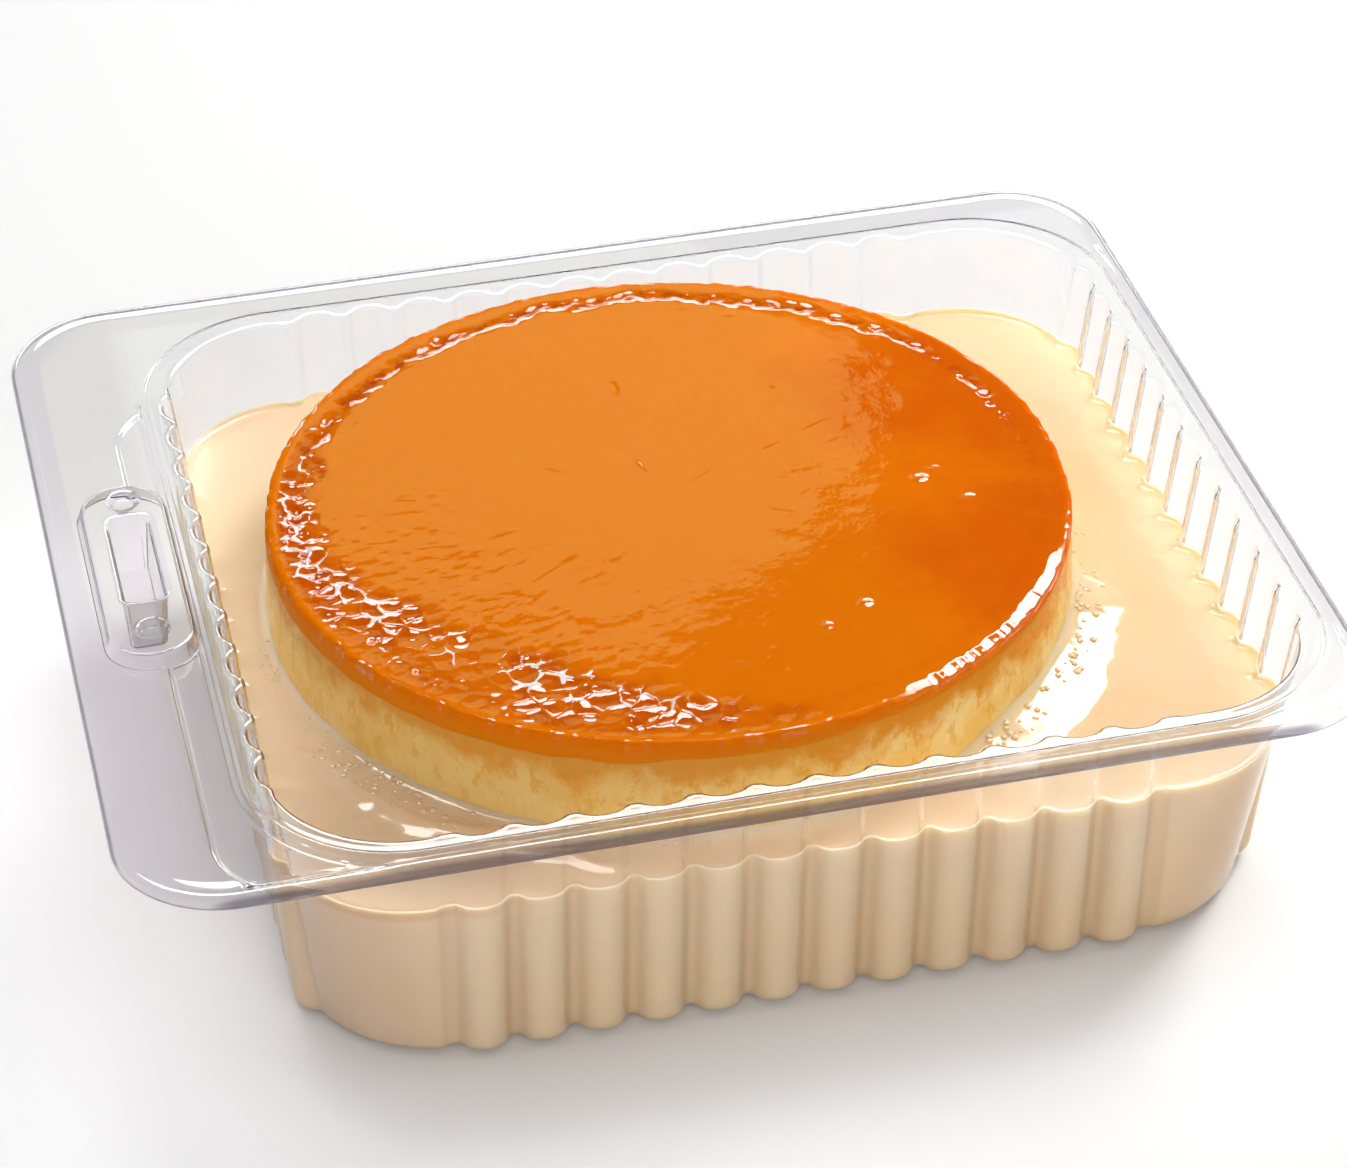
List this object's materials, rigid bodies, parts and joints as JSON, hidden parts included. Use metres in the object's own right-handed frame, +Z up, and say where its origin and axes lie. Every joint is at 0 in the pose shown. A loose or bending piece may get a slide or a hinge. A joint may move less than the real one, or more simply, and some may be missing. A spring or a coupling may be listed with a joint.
{
  "type": "creme caramel flan in a clear tray",
  "caption": "Round caramel-topped custard flan standing in creamy milk sauce in a clear ribbed plastic tray with a wide snap-lock rim.",
  "frame": {"origin": "underside of the tray's floor, at the middle of the ribbed basin", "axes": "+Z up; +X along the long side, away from the wide rim with the snap lock; +Y towards the back"},
  "size_m": [0.2265, 0.1898, 0.0572],
  "materials": {
    "clear_plastic": "clear glossy formed sheet",
    "milk": "smooth creamy liquid",
    "custard": "soft moist custard",
    "caramel": "wet glossy caramel"
  },
  "bodies": {
    "root": {"tray": "clear_plastic", "milk_sauce": "milk", "custard": "custard", "caramel_layer": "caramel"}
  },
  "joints": []
}
